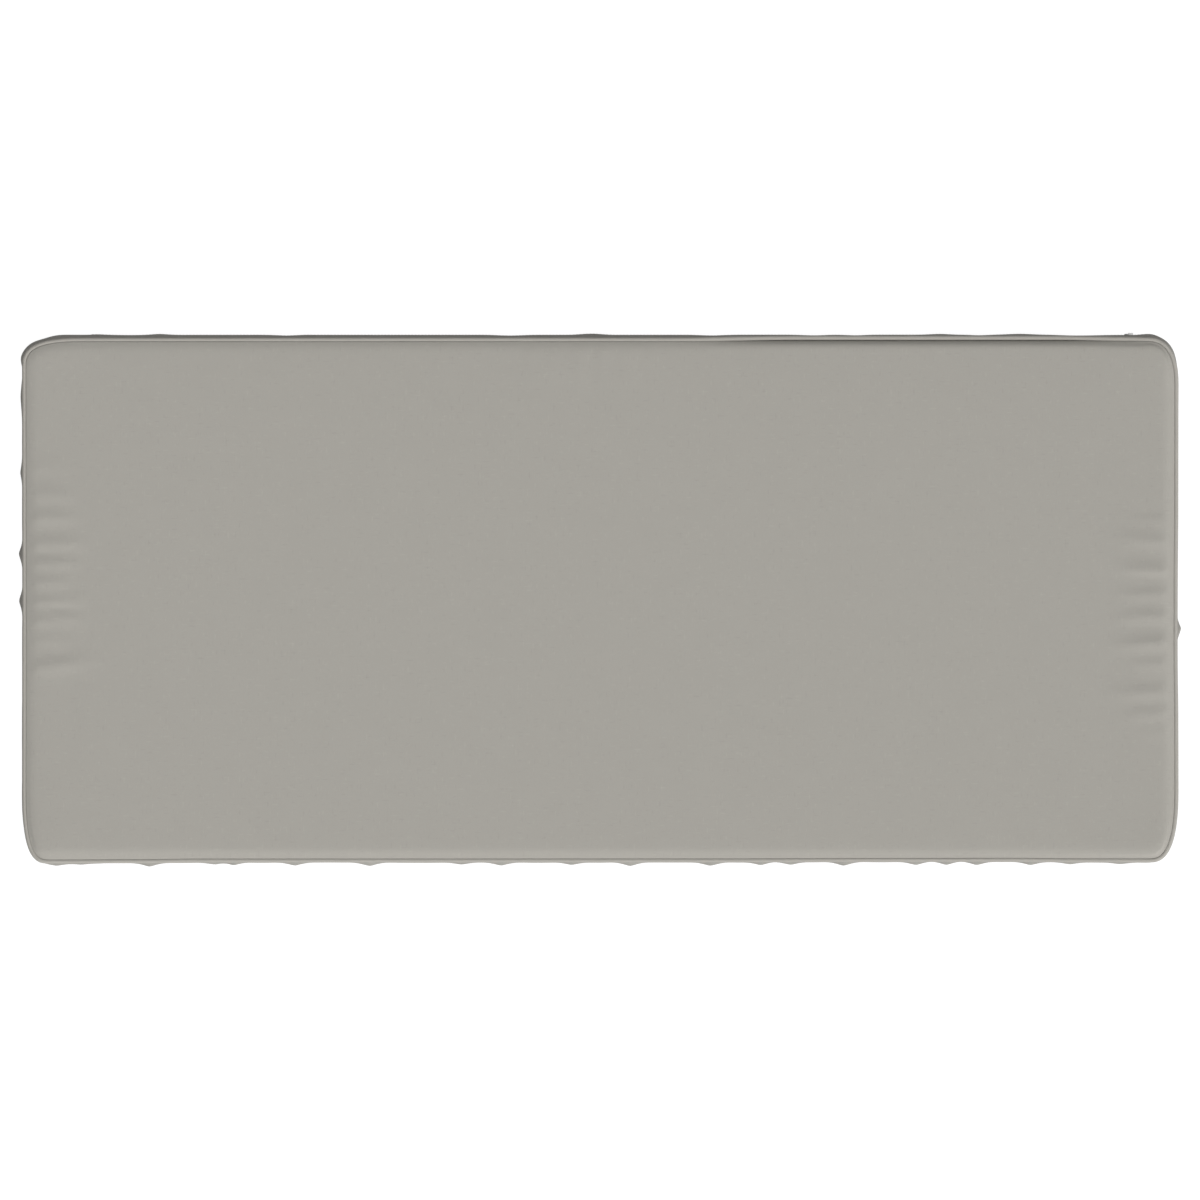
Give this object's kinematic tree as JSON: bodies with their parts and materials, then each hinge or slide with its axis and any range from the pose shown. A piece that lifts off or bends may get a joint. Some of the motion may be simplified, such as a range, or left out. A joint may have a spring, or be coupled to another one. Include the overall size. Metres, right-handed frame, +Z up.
{
  "type": "bench cushion",
  "caption": "Long boxed bench seat cushion, foam filled, with piped edges, rounded rim, gathered side walls and a zip along the back.",
  "frame": {"origin": "on the surface it lies on, under the middle of the cushion, in its flat bottom face", "axes": "+X along the length to the right end, -Y to the front, +Y to the back with the zip, +Z up"},
  "size_m": [1.1059, 0.5079, 0.0765],
  "materials": {
    "cover_cloth": "warm light grey plain-woven cloth, matt",
    "piping_cloth": "the cover's cloth, cut on the bias over a cord",
    "zip_tape": "grey woven polyester tape",
    "zip_coil": "grey nylon coil",
    "zip_metal": "nickel-plated zinc, a little dulled"
  },
  "bodies": {
    "root": {"cushion_body": "cover_cloth", "welt_top": "piping_cloth", "welt_bottom": "piping_cloth", "zip_tape": "zip_tape", "zip_coil": "zip_coil", "zip_slider": "zip_metal", "zip_pull": "zip_metal"}
  },
  "joints": []
}
